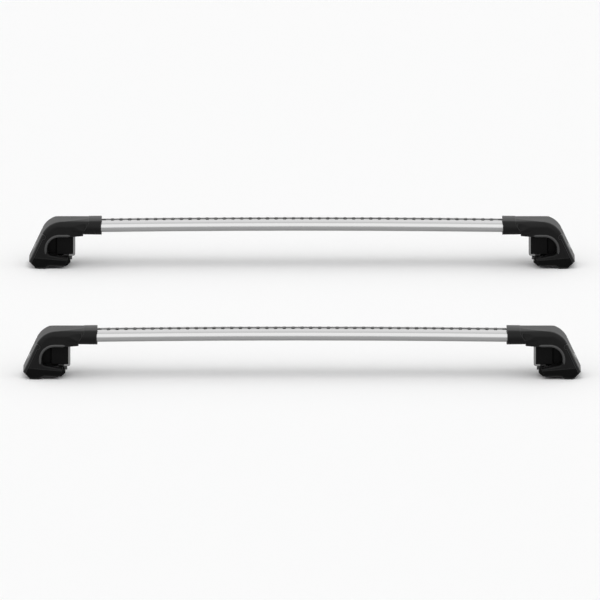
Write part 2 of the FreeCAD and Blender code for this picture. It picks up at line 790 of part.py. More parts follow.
def base_screw_rods(name, start, length, radius):
    """Two upright cylinders at the base's screws."""
    return [rod(f"{name}_{side}", "z", ("base_screw_x", f"{sign}base_screw_y", start), length, radius)
            for side, sign in (("front", "-"), ("back", ""))]


def make_housing(arch, bore, below_seam, cover_room):
    shell = joined("housing_outside", [cut("scooped_arch", arch, make_scoops()), make_collar()])
    cavity = prism("leg_room", [
        ("leg_x + wall", "0"), ("leg_x + wall", "hinge_z - wall - 2 * hinge_radius"),
        ("hinge_x", "hinge_z - hinge_radius - wall"),
        ("tip_x + spare", "hinge_z - hinge_radius - wall"), ("tip_x + spare", "0")],
        "arm_depth - 2 * side_wall")
    tower = deep_box("tower_room", ("tower_inner_x - fit_gap", "tower_outer_x + fit_gap"), "tray_depth",
                     ("arm_under - wall", "tower_top_z + fit_gap"))
    sill = deep_box("sill_room", ("sill_inner_x - wall", "leg_x"), "tray_depth",
                    ("0", "sill_outer_z + wall"))
    gate = deep_box("leg_gate", ("leg_x - 1", "leg_x + wall + 1"), "tray_depth",
                    ("0", "tower_bottom_z + 1 + fit_gap"))
    seal = new_body("seal_room")
    extrude(seal, "Pad", wing(seal, "(seal_thickness + run_gap)", "bar_height", "-1"),
            "1 + mouth_hollow - seal_proud + seal_width + run_gap")
    grooves = [rod(f"knuckle_room_{side}", "y", ("hinge_x", start, "hinge_z"),
                   "(arm_depth - hinge_lug) / 2 + 1", "hinge_radius + seam")
               for side, start in (("front", "-arm_depth / 2 - 1"), ("back", "hinge_lug / 2"))]
    threads = base_screw_rods("housing_thread", "floor_gap", "base_screw_length + run_gap",
                              "base_screw_radius + run_gap")
    hollow = cut("housing_shell", shell, [bore, cover_room, below_seam, cavity, tower, sill, gate, seal]
                 + grooves + threads)
    lug = cross_rod("hinge_lug_rod", "hinge_x", "hinge_z", "hinge_lug - 2 * seam", "hinge_radius")
    rib = box("catch_rib_box", ("-lock_boss_radius", "lock_boss_radius"),
              ("side_wall - arm_depth / 2 - 1", "-(lock_boss_radius + catch_gap)"),
              ("seam - lock_depth", "cam_thickness - lock_depth"))
    catch = doc.addObject("Part::Compound", "catch_rib")
    catch.Links = [rib]
    on_slope(catch)
    whole = joined("housing_whole", [hollow, lug, catch])
    return cut("housing", whole, [pin_bore("housing_pin_bore")])


def pin_bore(name):
    return cross_rod(name, "hinge_x", "hinge_z", "arm_depth - 2 * hinge_pin_end + 2 * run_gap",
                     "hinge_pin_radius + run_gap")


def make_base(arch, below_seam, cover_room):
    block = common("base_block", arch, below_seam)
    under = prism("pad_room", [
        ("arm_start", "-spare"), ("arm_start", "finger_rise + pad_thickness"),
        ("finger_x", "finger_rise + pad_thickness"), ("seat_inner_x", "seat_rise + pad_thickness"),
        ("seat_outer_x", "seat_rise + pad_thickness"), ("lobe_x", "floor_gap"),
        ("tip_x + spare", "floor_gap"), ("tip_x + spare", "-spare")], "arm_depth + spare")
    carrier_tray = deep_box("carrier_tray", ("sill_inner_x - wall", "seat_face_x"), "tray_depth",
                            ("seat_floor_z", "arm_under"))
    head_tray = deep_box("head_tray", ("seat_face_x - seam", "tray_outer_x"), "tray_depth",
                         ("floor_gap + wall", "arm_under"))
    key_hole = rod("key_hole", "x", ("tray_outer_x - 1", "0", "bolt_z"), "spare + 1", "0.7 * bolt_socket")
    shanks = base_screw_rods("base_hole", "0", "arm_under", "base_screw_radius + fit_gap")
    heads = base_screw_rods("base_head_hole", "0", "floor_gap + base_screw_head",
                            "base_screw_head_radius + fit_gap")
    return cut("base", block, [cover_room, under, carrier_tray, head_tray, jaw_slot("base_jaw_slot"),
                               key_hole] + shanks + heads)


def jaw_slot(name):
    """The room the clamp jaw slides in."""
    return deep_box(name, ("sill_inner_x - spare", "seat_block_x"), "jaw_depth + 2 * slide_gap",
                    ("-spare", "arm_under"))


# Inside the foot

def bracket_screw_rods(name, start, length, radius):
    """Two level cylinders at the bracket's screws."""
    return [rod(f"{name}_{end}", "x", (start, "0", f"bracket_screw_{end}_z"), length, radius)
            for end in ("low", "high")]


def make_carrier(arch, bore):
    tower = new_body("tower")
    half = "tower_depth / 2"
    corners = [(x, y, "tower_edge") for x, y in
               box_corners("tower_inner_x", "tower_outer_x", f"-{half}", half)]
    extrude(tower, "Pad", outline(tower, "XY_Plane", corners, "tower_bottom_z"),
            "tower_top_z - tower_bottom_z")
    web_box = deep_box("web_box", ("tower_outer_x - 1", "leg_x"), "web_depth",
                       ("tower_bottom_z", "collar_bottom_z"))
    web = cut("tower_web", web_box, [arch])
    block = deep_box("seat_block", ("seat_block_x", "seat_face_x"), "tower_depth",
                     ("seat_floor_z", "tower_bottom_z + 1"))
    bolt_hole = rod("carrier_bolt_hole", "x", ("seat_block_x - 1", "0", "bolt_z"), "2 * spare",
                    "bolt_radius + fit_gap")
    shanks = carrier_screw_rods("carrier_hole", "tower_bottom_z - 1", "arm_top", "screw_radius + fit_gap")
    heads = carrier_screw_rods("carrier_head_hole", "tower_bottom_z - 1",
                               "screw_seat_z - tower_bottom_z + 1", "screw_head_radius + fit_gap")
    threads = bracket_screw_rods("carrier_thread", "bracket_x", "bracket_screw_length + run_gap",
                                 "bracket_screw_radius + run_gap")
    solid = joined("carrier_solid", [tower, web, block])
    return cut("carrier", solid, [bore, bolt_hole] + shanks + heads + threads)


def make_bracket():
    body = prism("bracket_angle", [
        ("bracket_x", "toe_bottom_z", "bracket_thickness"), ("bracket_toe_x", "toe_bottom_z"),
        ("bracket_toe_x", "tower_bottom_z"), ("tower_inner_x", "tower_bottom_z"),
        ("tower_inner_x", arm_underside("tower_inner_x")), ("bracket_x", arm_underside("bracket_x"))],
        "bracket_depth")
    holes = bracket_screw_rods("bracket_hole", "bracket_x - 1", "bracket_thickness + 2",
                               "bracket_screw_radius + run_gap")
    heads = bracket_screw_rods("bracket_head_hole", "bracket_x - 1", "bracket_screw_head + 1",
                               "bracket_screw_head_radius + run_gap")
    return cut("support_bracket", body, holes + heads)


# The clamp

def make_pad():
    inner, outer = "base_inner_x + pad_inset", "toe_x - pad_inset"
    body = prism("pad_block", [
        (outer, "0"), ("lobe_x", "0"), ("seat_outer_x", "seat_rise"), ("seat_inner_x", "seat_rise"),
        ("finger_x", "finger_rise"), (inner, "finger_rise"), (inner, "finger_rise + pad_thickness"),
        ("finger_x", "finger_rise + pad_thickness"), ("seat_inner_x", "seat_rise + pad_thickness"),
        ("seat_outer_x", "seat_rise + pad_thickness"), ("lobe_x", "floor_gap"), (outer, "floor_gap")],
        "arm_depth - 2 * pad_inset")
    outer_x = number(outer)

    def at_outer_corner(middle, edge):
        upright = abs(edge.tangentAt(edge.FirstParameter).z) > 0.99
        return upright and abs(middle.x - outer_x) < 1e-6

    round_edges(body, "edge_radius", at_outer_corner)
    return cut("rail_pad", body, [jaw_slot("pad_jaw_slot")])


def make_jaw():
    body = prism("jaw_block", [
        ("jaw_inner_x", "jaw_heel_z"), ("jaw_inner_x + jaw_nose", "jaw_top_z"),
        ("jaw_outer_x", "jaw_top_z"), ("jaw_outer_x", "jaw_hook_z + 1.5 * jaw_hook_thickness"),
        ("jaw_hook_x", "jaw_hook_z + jaw_hook_thickness"), ("jaw_hook_x", "jaw_hook_z"),
        ("jaw_hook_x - jaw_hook_thickness - jaw_travel", "jaw_hook_z")], "jaw_depth")
    hole = rod("jaw_hole", "x", ("jaw_inner_x - spare", "0", "bolt_z"), "3 * spare",
               "bolt_radius + run_gap")
    return cut("clamp_jaw", body, [hole])


def make_bolt():
    head_x = "seat_face_x + washer_thickness"
    shank = rod("bolt_shank", "x", ("bolt_end_x", "0", "bolt_z"), f"{head_x} - bolt_end_x + 1",
                "bolt_radius")
    head = rod("bolt_head", "x", (head_x, "0", "bolt_z"), "bolt_head_length", "bolt_head_radius")
    socket = doc.addObject("Part::Prism", "bolt_socket_room")
    socket.Polygon = 6
    set_size(socket, "Circumradius", "bolt_socket / sqrt(3)")
    set_size(socket, "Height", "bolt_socket_depth + 1")
    direction, angle = TURNS["x"]
    socket.Placement = FreeCAD.Placement(Vector(), FreeCAD.Rotation(direction, angle))
    set_size(socket, "Placement.Base.x", f"{head_x} + bolt_head_length - bolt_socket_depth")
    set_size(socket, "Placement.Base.z", "bolt_z")
    return cut("clamp_bolt", joined("bolt_solid", [shank, head]), [socket])


# The end cover and its lock

def make_cover(arch):
    slab = prism("cover_slab", [
        slope_point("0", "-spare"), slope_point("slope_length", "-spare"),
        slope_point("slope_length", "cover_thickness"), slope_point("0", "cover_thickness")],
        "arm_depth + spare")
    knuckles = cross_rod("knuckle_rod", "hinge_x", "hinge_z", "arm_depth", "hinge_radius")
    skin = common("cover_skin", arch, joined("cover_limit", [slab, knuckles]))
    boss_rod = rod("lock_boss_rod", "z", ("0", "0", "0.5 - lock_depth"), "lock_depth - cover_thickness + 1",
                   "lock_boss_radius")
    boss = doc.addObject("Part::Compound", "lock_boss")
    boss.Links = [boss_rod]
    on_slope(boss)
    hole_rod = rod("lock_hole_rod", "z", ("0", "0", "-lock_depth"), "lock_depth + spare",
                   "lock_radius + run_gap")
    hole = doc.addObject("Part::Compound", "lock_hole")
    hole.Links = [hole_rod]
    on_slope(hole)
    lug_room = cross_rod("lug_room", "hinge_x", "hinge_z", "hinge_lug", "hinge_radius + seam")
    solid = joined("cover_solid", [skin, boss])
    return cut("end_cover", solid, [lug_room, pin_bore("cover_pin_bore"), hole])


def make_lock():
    """The lock, modelled about +Z with +X down the slope; its cam starts up the slope."""
    barrel = rod("lock_rod", "z", ("0", "0", "-lock_depth"), "lock_depth + lock_proud", "lock_radius")
    cam = box("lock_cam", ("-cam_reach", "cam_width / 2"), ("-cam_width / 2", "cam_width / 2"),
              ("-(lock_depth + cam_thickness)", "-lock_depth"))
    slot = box("key_slot", ("-key_slot_length / 2", "key_slot_length / 2"),
               ("-key_slot_width / 2", "key_slot_width / 2"), ("lock_proud - key_slot_depth", "spare"))
    lock = cut("lock_barrel", joined("lock_solid", [barrel, cam]), [slot])
    return on_slope(lock)


# Seal and fasteners

def make_seal():
    body = new_body("collar_seal")
    start = "mouth_hollow - seal_proud"
    extrude(body, "Pad", wing(body, "seal_thickness", "bar_height", start), "seal_width")
    extrude(body, "Pocket", wing(body, "seal_gap", "bar_height", start), "seal_width", backwards=True)
    return body


def make_anchor_plate():
    """The threaded plate inside the bar's end, lying on its chamber's floor."""
    body = new_body("anchor_plate")
    floor = "bar_z - thickness / 2 + chamber_rise + run_gap"
    corners = box_corners("plate_x - plate_length / 2", "plate_x + plate_length / 2",
                          "slot_y - plate_width / 2", "slot_y + plate_width / 2")
    extrude(body, "Pad", outline(body, "XY_Plane", corners, floor), "plate_thickness")
    places = [("plate_x", "slot_y - screw_y"), ("plate_x", "slot_y + screw_y")]
    holes = circles(body, "XY_Plane", places, "screw_radius + 3 * run_gap", floor)
    extrude(body, "Pocket", holes, "plate_thickness", backwards=True)
    return beyond_mouth("placed_anchor_plate", body)


def make_carrier_screws():
    shanks = carrier_screw_rods("carrier_shank", "screw_seat_z - 1",
                                "1 + screw_cover + chamber_rise + plate_thickness", "screw_radius")
    heads = carrier_screw_rods("carrier_head", "screw_seat_z - screw_head_length", "screw_head_length",
                               "screw_head_radius")
    return [joined("carrier_screw", list(pair)) for pair in zip(shanks, heads)]


def make_bracket_screws():
    shanks = bracket_screw_rods("bracket_shank", "bracket_x", "bracket_screw_length",
                                "bracket_screw_radius")
    heads = bracket_screw_rods("bracket_head", "bracket_x", "bracket_screw_head",
                               "bracket_screw_head_radius")
    return [joined("bracket_screw", list(pair)) for pair in zip(shanks, heads)]


def make_base_screws():
    shanks = base_screw_rods("base_shank", "floor_gap", "base_screw_length", "base_screw_radius")
    heads = base_screw_rods("base_head", "floor_gap", "base_screw_head", "base_screw_head_radius")
    return [joined("base_screw", list(pair)) for pair in zip(shanks, heads)]


def make_washer():
    ring = rod("washer_ring", "x", ("seat_face_x", "0", "bolt_z"), "washer_thickness", "washer_radius")
    hole = rod("washer_hole", "x", ("seat_face_x - 1", "0", "bolt_z"), "washer_thickness + 2",
               "bolt_radius + run_gap")
    return cut("bolt_washer", ring, [hole])


def make_cover_pin():
    return cross_rod("cover_pin", "hinge_x", "hinge_z", "arm_depth - 2 * hinge_pin_end",
                     "hinge_pin_radius")


# The whole pair

def make_foot():
    """The named pieces of a right-hand foot, each a list of solids."""
    arch, bore = make_arch(), make_bore()
    below_seam, cover_room = make_below_seam(), make_cover_room()
    return {
        "housing": [make_housing(arch, bore, below_seam, cover_room)],
        "base": [make_base(arch, below_seam, cover_room)],
        "carrier": [make_carrier(arch, bore)],
        "support_bracket": [make_bracket()],
        "end_cover": [make_cover(arch)],
        "lock_barrel": [make_lock()],
        "rail_pad": [make_pad()],
        "clamp_jaw": [make_jaw()],
        "clamp_bolt": [make_bolt()],
        "collar_seal": [make_seal()],
    }


def make_fasteners():
    """The fasteners of a right-hand foot by kind, each a list of solids."""
    return {
        "anchor_plates": [make_anchor_plate()],
        "carrier_screws": make_carrier_screws(),
        "bracket_screws": make_bracket_screws(),
        "base_screws": make_base_screws(),
        "bolt_washers": [make_washer()],
        "cover_pins": [make_cover_pin()],
    }


def twins(solids):
    """The left-hand images of right-hand solids."""
    return [mirror("mirrored_" + solid.Name, solid, Vector(1, 0, 0)) for solid in solids]


def place(label, solids, offset):
    """One node of the assembly: solids moved along Y."""
    node = doc.addObject("Part::Compound", label)
    node.Label = label
    node.Links = solids
    set_size(node, "Placement.Base.y", offset)
    doc.recompute()
    return node


def make_pair():
    """Every node of the assembly."""
    pieces = {"bar": [make_bar()], "slot_strip": [make_strip()]}
    for name, solids in make_foot().items():
        right = [at_mouth(solid) for solid in solids]
        pieces["right_" + name] = right
        pieces["left_" + name] = twins(right)
    for name, solids in make_fasteners().items():
        right = [at_mouth(solid) for solid in solids]
        pieces[name] = right + twins(right)
    nodes = []
    for end, offset in (("front", "-bar_spread / 2"), ("rear", "bar_spread / 2")):
        for name, solids in pieces.items():
            nodes.append(place(f"{end}_{name}", solids, offset))
    return nodes


nodes = make_pair()
doc.recompute()
for thing in doc.Objects:
    if "Invalid" in thing.State or "Error" in thing.State:
        raise RuntimeError(f"{thing.Label} cannot be worked out")
os.makedirs("parts", exist_ok=True)
for node in nodes:
    if node.Shape.isNull() or not node.Shape.isValid():
        raise RuntimeError(f"{node.Label} has no valid shape")
    node.Shape.exportStep(f"parts/{node.Label}.step")
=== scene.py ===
"""A pair of roof crossbars on a pale studio floor, one bar before the other, seen from the front."""
import json
import math

import bpy
from mathutils import Matrix, Vector


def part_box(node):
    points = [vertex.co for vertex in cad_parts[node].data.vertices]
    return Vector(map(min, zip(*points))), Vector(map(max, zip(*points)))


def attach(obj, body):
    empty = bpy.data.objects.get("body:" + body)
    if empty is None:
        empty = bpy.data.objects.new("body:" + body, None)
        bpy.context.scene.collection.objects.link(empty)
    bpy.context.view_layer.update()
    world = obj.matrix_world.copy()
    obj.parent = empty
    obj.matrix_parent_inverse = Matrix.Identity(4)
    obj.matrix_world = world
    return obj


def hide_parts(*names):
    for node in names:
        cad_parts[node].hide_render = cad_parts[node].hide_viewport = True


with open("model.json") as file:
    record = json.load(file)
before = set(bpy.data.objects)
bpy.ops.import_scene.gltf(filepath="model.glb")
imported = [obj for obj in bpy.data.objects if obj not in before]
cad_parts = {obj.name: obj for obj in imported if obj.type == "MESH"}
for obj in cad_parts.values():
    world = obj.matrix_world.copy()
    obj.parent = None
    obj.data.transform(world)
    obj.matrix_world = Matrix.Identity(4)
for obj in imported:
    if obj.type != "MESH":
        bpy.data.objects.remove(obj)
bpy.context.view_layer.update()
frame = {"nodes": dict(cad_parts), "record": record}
record = frame["record"]
slot_of = {part["node"]: part["material_slot"] for part in record["subparts"]}

MM = 0.001
QUARTER_TURN = math.pi / 2
ROWS = ("front", "rear")
SIDES = (("left", -1), ("right", 1))
FACES = (("near", 1), ("far", -1))


# Finishes

BEVEL_SAMPLES = 6
EDGE_MATCH = 0.75           # cosine between rounded and true normal where an edge is fully sharp
PATCH_SCALE = 120
PATCH_SHARE = 0.8           # of an edge's paleness, wear and painted highlight, that comes and goes along it


class Value:
    """One output socket of a material, with the sums that are done on it."""

    def __init__(self, look, socket):
        self.look = look
        self.socket = socket

    def sum(self, operation, *terms):
        return self.look.node("ShaderNodeMath", {"operation": operation}, dict(enumerate(terms)))

    def __add__(self, other):
        return self.sum("ADD", self, other)

    def __sub__(self, other):
        return self.sum("SUBTRACT", self, other)

    def __rsub__(self, other):
        return self.sum("SUBTRACT", other, self)

    def __mul__(self, other):
        return self.sum("MULTIPLY", self, other)

    __radd__ = __add__
    __rmul__ = __mul__


class Look:
    """A material made of nodes round one Principled shader."""

    def __init__(self, name, **constants):
        self.material = bpy.data.materials.new(name)
        self.material.use_nodes = True
        self.tree = self.material.node_tree
        self.shader = self.tree.nodes["Principled BSDF"]
        for socket, value in constants.items():
            self.shader.inputs[socket.replace("_", " ")].default_value = value

    def node(self, kind, settings=None, inputs=None, output=0):
        """Add a node: its settings first, then the values or links of its sockets."""
        made = self.tree.nodes.new(kind)
        for name, setting in (settings or {}).items():
            setattr(made, name, setting)
        for name, value in (inputs or {}).items():
            self.feed(made.inputs[name], value)
        return Value(self, made.outputs[output])

    def feed(self, socket, value):
        """Link a value to a socket, or set a plain number or colour on it."""
        if isinstance(value, Value):
            self.tree.links.new(value.socket, socket)
        else:
            socket.default_value = value

    def to(self, name, value):
        """Feed one input of the shader."""
        self.feed(self.shader.inputs[name], value)

    def place(self):
        return self.node("ShaderNodeTexCoord", output="Object")

    def noise(self, scale, detail=2.0, stretch=None):
        """Even noise over the piece; stretch scales each axis, and a small share draws it out."""
        place = self.place()
        if stretch:
            place = self.node("ShaderNodeMapping", inputs={"Vector": place, "Scale": stretch})
        return self.node("ShaderNodeTexNoise",
                         inputs={"Vector": place, "Scale": scale, "Detail": detail})

    def mix(self, share, first, second):
        """A colour between two others."""
        return self.node("ShaderNodeMix", {"data_type": "RGBA"},
                         {0: share, 6: first, 7: second}, output=2)

    def varied(self, share, shade, spread):
        """A grey that is darker and paler by that spread."""
        return self.mix(share, grey(shade * (1 - spread)), grey(shade * (1 + spread)))

    def roughen(self, share, least, spread):
        self.to("Roughness", share * spread + least)

    def rounded(self, reach):
        """The normal, rounded over sharp edges as far as that reach."""
        return self.node("ShaderNodeBevel", {"samples": BEVEL_SAMPLES}, {"Radius": reach})

    def edges(self, reach):
        """1 on sharp edges, fading to 0 at that reach from them, and patchy along them."""
        rounded = self.rounded(reach)
        facing = self.node("ShaderNodeNewGeometry", output="Normal")
        match = self.node("ShaderNodeVectorMath", {"operation": "DOT_PRODUCT"},
                          {0: rounded, 1: facing}, output="Value")
        sharp = self.node("ShaderNodeMapRange",
                          inputs={"Value": match, "From Min": 1.0, "From Max": EDGE_MATCH})
        patches = self.noise(PATCH_SCALE, detail=3.0)
        return sharp * (patches * PATCH_SHARE + (1 - PATCH_SHARE))

    def bump(self, height, distance, edge=0.0):
        """Raise the surface by height times distance; edge rounds sharp edges as far as that."""
        inputs = {"Height": height, "Distance": distance, "Strength": 1.0}
        if edge:
            inputs["Normal"] = self.rounded(edge)
        self.to("Normal", self.node("ShaderNodeBump", inputs=inputs))


def grey(shade):
    return (shade, shade, shade, 1)


BAR_DARK = 0.335
BAR_PALE = 0.365
BAND_STRETCH = (0.05, 12, 12)
LINE_STRETCH = (0.02, 12, 12)


def anodised_bar():
    """Satin anodised aluminium, with faint draw lines along the extrusion."""
    look = Look("anodised_bar", Metallic=1.0)
    bands = look.noise(scale=40, detail=3.0, stretch=BAND_STRETCH)
    lines = look.noise(scale=200, stretch=LINE_STRETCH)
    look.to("Base Color", look.mix(bands, grey(BAR_DARK), grey(BAR_PALE)))
    look.roughen(lines, least=0.155, spread=0.07)
    look.bump(lines, distance=0.002 * MM)
    return look.material


CLOUD_ROUGHNESS = 0.08
WEAR_AND_HIGHLIGHT_REACH = 3.0            # times the round of an edge
WEAR_AND_HIGHLIGHT_TIMES = 4              # edges are that many times as pale, and a little more: partly wear, partly a painted highlight
WEAR_AND_HIGHLIGHT_LIFT = 0.03
WEAR_POLISH = 0.12


def moulded(name, shade, shine, roughness, grain, edge):
    """Black moulded plastic with a fine eroded grain, paler along its edges: partly wear, partly a
    painted highlight.
    """
    look = Look(name, Specular_IOR_Level=shine)
    cloud = look.noise(scale=35)
    wear_and_highlight = look.edges(WEAR_AND_HIGHLIGHT_REACH * edge)
    body = look.varied(cloud, shade, spread=0.15)
    # Paler along the edges: partly wear, partly a painted highlight.
    look.to("Base Color", look.mix(wear_and_highlight, body, grey(shade * WEAR_AND_HIGHLIGHT_TIMES + WEAR_AND_HIGHLIGHT_LIFT)))
    uneven = cloud * CLOUD_ROUGHNESS + (roughness - CLOUD_ROUGHNESS / 2)
    look.to("Roughness", uneven - wear_and_highlight * WEAR_POLISH)
    look.bump(look.noise(scale=1400, detail=1.0), distance=grain, edge=edge)
    return look.material


RIB_PITCH = 17.4 * MM
RIB_REACH = 3.6 * MM        # of a rib's dark tone from its middle
RIB_BLEND = 0.6 * MM


def between_ribs(look):
    """0 on the ribs of a strip and 1 between them."""
    along = look.node("ShaderNodeSeparateXYZ", inputs={"Vector": look.place()}, output="X")
    from_rib = along.sum("PINGPONG", along, RIB_PITCH / 2)
    limits = {"From Min": RIB_REACH, "From Max": RIB_REACH + RIB_BLEND}
    return look.node("ShaderNodeMapRange", inputs={"Value": from_rib, **limits})


def rubber(name, shade, land_painted_light=None):
    """Matt rubber. Given a land tone, the strip's surface between its ribs is made paler: painted light
    against the shade of that recess.
    """
    look = Look(name, Specular_IOR_Level=0.3)
    cloud = look.noise(scale=60, detail=3.0)
    colour = look.varied(cloud, shade, spread=0.3)
    # Pale lands between the ribs: painted light that lifts the recess out of its shade.
    if land_painted_light:
        colour = look.mix(between_ribs(look), colour, grey(land_painted_light))
    look.to("Base Color", colour)
    look.roughen(cloud, least=0.62, spread=0.1)
    look.bump(look.noise(scale=900), distance=0.03 * MM, edge=0.3 * MM)
    return look.material


def coated_metal(name, shade, roughness):
    """A casting or forging under black coating, slightly uneven."""
    look = Look(name, Specular_IOR_Level=0.06)
    cloud = look.noise(scale=80, detail=4.0)
    look.to("Base Color", look.varied(cloud, shade, spread=0.2))
    look.roughen(cloud, least=roughness, spread=0.12)
    look.bump(look.noise(scale=500, detail=3.0), distance=0.05 * MM, edge=0.5 * MM)
    return look.material


PLAIN = (1, 1, 1)
BRUSHED = (1, 1, 12)        # lines that lie level


def plated_steel(name, shade, roughness, stretch):
    """Plated steel, even or brushed."""
    look = Look(name, Metallic=1.0)
    lines = look.noise(scale=60, detail=3.0, stretch=stretch)
    look.to("Base Color", look.varied(lines, shade, spread=0.08))
    look.roughen(lines, least=roughness, spread=0.1)
    look.bump(lines, distance=0.01 * MM, edge=0.3 * MM)
    return look.material


FINISHES = {
    "bar_aluminium": anodised_bar(),
    "foot_plastic": moulded("housing_plastic", shade=0.003, shine=0.12, roughness=0.44,
                            grain=0.04 * MM, edge=0.7 * MM),
    "cover_plastic": moulded("cover_plastic", shade=0.004, shine=0.13, roughness=0.42,
                             grain=0.04 * MM, edge=0.7 * MM),
    "base_plastic": moulded("base_plastic", shade=0.002, shine=0.05, roughness=0.52,
                            grain=0.05 * MM, edge=0.7 * MM),
    "rubber": rubber("black_rubber", shade=0.012),
    "carrier_metal": coated_metal("carrier_coating", shade=0.003, roughness=0.42),
    "jaw_metal": coated_metal("jaw_coating", shade=0.006, roughness=0.36),
    "bracket_steel": plated_steel("bracket_plating", shade=0.20, roughness=0.34, stretch=BRUSHED),
    "fastener_steel": plated_steel("fastener_plating", shade=0.22, roughness=0.28, stretch=PLAIN),
    "lock_metal": plated_steel("lock_plating", shade=0.30, roughness=0.24, stretch=PLAIN),
}
# The strip's lands are painted pale between its ribs, as painted light against the shade of their
# recess.
STRIP_FINISH = rubber("strip_rubber", shade=0.055, land_painted_light=0.30)
for name, thing in frame["nodes"].items():
    thing.data.materials.clear()
    thing.data.materials.append(STRIP_FINISH if "strip" in name else FINISHES[slot_of[name]])


# Moulded lips round the windows of the feet

WINDOW_SIDE = 514 * MM      # inner side of the leg, from the middle of the bar
WINDOW_TOP = 64 * MM
WINDOW_ROUND = 24 * MM
LIP_OFFSET = 4.0 * MM       # of the lip's middle outside the window
LIP_WIDTH = 4.6 * MM
LIP_PROUD = 0.9 * MM
LIP_FOOT = 31 * MM          # height of its lower end
LIP_RUN = 17 * MM           # of its straight stretch under the arm
LIP_END = 0.25              # share of the section that is left at its ends
LIP_VERTICES = 16
LIP_STEPS = 14              # round the window's corner
LIP_WELD = 0.01 * MM
LIP_SMOOTH = math.radians(50)
ARM_SIDE = 42 * MM          # of the arm's front and back from the bar's middle plane


def push_on(step):
    """Draw the selected end out by a step."""
    bpy.ops.mesh.extrude_region_move(TRANSFORM_OT_translate={"value": step})


def scale_end(share, centre):
    bpy.ops.transform.resize(value=(share, share, share), center_override=centre)


def mirrored_copy(first, name, across, through, middle):
    """A copy with its own mesh, turned over in X or Y about the bar's middle, and moved to that bar."""
    piece = first.copy()
    piece.data = first.data.copy()
    piece.name = name
    bpy.context.collection.objects.link(piece)
    turned = Matrix.Diagonal((across, through, 1, 1))
    piece.data.transform(Matrix.Translation((0, middle, 0)) @ turned)
    if across * through < 0:
        piece.data.flip_normals()
    return piece


def row_middle(row):
    """Y of the middle of a bar."""
    low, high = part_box(f"{row}_bar")
    return (low[1] + high[1]) / 2


def make_lip():
    """A low bead from the foot of the leg, up round the window's corner and along the arm."""
    corner_x = WINDOW_SIDE - WINDOW_ROUND
    corner_z = WINDOW_TOP - WINDOW_ROUND
    turn = WINDOW_ROUND + LIP_OFFSET
    start = Vector((WINDOW_SIDE + LIP_OFFSET, -ARM_SIDE, LIP_FOOT))
    end = Vector((corner_x - LIP_RUN - LIP_WIDTH, -ARM_SIDE, corner_z + turn))
    bpy.ops.object.select_all(action="DESELECT")
    bpy.ops.mesh.primitive_circle_add(vertices=LIP_VERTICES, radius=LIP_WIDTH / 2,
                                      fill_type="NGON", location=start)
    lip = bpy.context.active_object
    bpy.ops.object.mode_set(mode="EDIT")
    bpy.ops.mesh.select_all(action="SELECT")
    bpy.ops.transform.resize(value=(1, 2 * LIP_PROUD / LIP_WIDTH, 1), center_override=start)
    scale_end(LIP_END, start)
    push_on((0, 0, LIP_WIDTH))
    scale_end(1 / LIP_END, start + Vector((0, 0, LIP_WIDTH)))
    push_on((0, 0, corner_z - LIP_FOOT - LIP_WIDTH))
    bpy.ops.mesh.spin(steps=LIP_STEPS, angle=QUARTER_TURN, center=(corner_x, -ARM_SIDE, corner_z),
                      axis=(0, 1, 0))
    push_on((-LIP_RUN, 0, 0))
    push_on((-LIP_WIDTH, 0, 0))
    scale_end(LIP_END, end)
    bpy.ops.mesh.select_all(action="SELECT")
    bpy.ops.mesh.remove_doubles(threshold=LIP_WELD)
    bpy.ops.mesh.normals_make_consistent(inside=False)
    bpy.ops.object.mode_set(mode="OBJECT")
    bpy.ops.object.shade_smooth_by_angle(angle=LIP_SMOOTH)
    bpy.ops.object.transform_apply(location=True, rotation=True, scale=True)
    return lip


def place_lips():
    """A lip on the front and the back of each foot, mirrored from the first."""
    first = make_lip()
    # The lips are the housing's plastic made several times paler: a painted highlight along the
    # window's edge.
    finish = moulded("lip_plastic_painted_highlight", shade=0.022, shine=0.45, roughness=0.34,
                     grain=0.01 * MM, edge=0.3 * MM)
    first.data.materials.append(finish)
    for row in ROWS:
        for side, across in SIDES:
            for face, through in FACES:
                name = f"{row}_{side}_{face}_lip"
                lip = mirrored_copy(first, name, across, through, row_middle(row))
                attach(lip, "frame")
    bpy.data.objects.remove(first)


place_lips()


# Threaded clamp bolts

BOLT_HEIGHT = 15.5 * MM     # of the bolt's axis above the floor
BOLT_START = 464.5 * MM     # the thread's end, from the middle of the bar
BOLT_SEAT = 520.6 * MM      # underside of the head
BOLT_RADIUS = 4 * MM
BOLT_VERTICES = 32
BOLT_SMOOTH = math.radians(30)
ROOT_RADIUS = 3.4 * MM
THREAD_PITCH = 1.25 * MM
THREAD_FLANK = THREAD_PITCH * 0.4
THREAD_FLAT = THREAD_PITCH * 0.1    # at the crest and at the root
THREAD_TURNS = 22
HEAD_RADIUS = 6.5 * MM
HEAD_LENGTH = 8 * MM
HEAD_BEVEL = 0.6 * MM
SOCKET_SIDES = 6
SOCKET_FLATS = 6 * MM
SOCKET_DEPTH = 4 * MM
ALONG_X = (0, QUARTER_TURN, 0)


class Turning:
    """A round bar along X, drawn out step by step from its first end."""

    def __init__(self, start, radius):
        self.tip = Vector(start)
        self.radius = radius
        bpy.ops.object.select_all(action="DESELECT")
        bpy.ops.mesh.primitive_circle_add(vertices=BOLT_VERTICES, radius=radius, fill_type="NGON",
                                          location=start, rotation=ALONG_X)
        self.piece = bpy.context.active_object
        bpy.ops.object.mode_set(mode="EDIT")
        bpy.ops.mesh.select_all(action="SELECT")

    def draw(self, length, radius):
        """Go on by a length, to a new radius."""
        push_on((length, 0, 0))
        self.tip.x += length
        share = radius / self.radius
        bpy.ops.transform.resize(value=(1, share, share), center_override=self.tip)
        self.radius = radius

    def finish(self):
        bpy.ops.mesh.select_all(action="SELECT")
        bpy.ops.mesh.normals_make_consistent(inside=False)
        bpy.ops.object.mode_set(mode="OBJECT")
        bpy.ops.object.transform_apply(location=True, rotation=True, scale=True)
        return self.piece


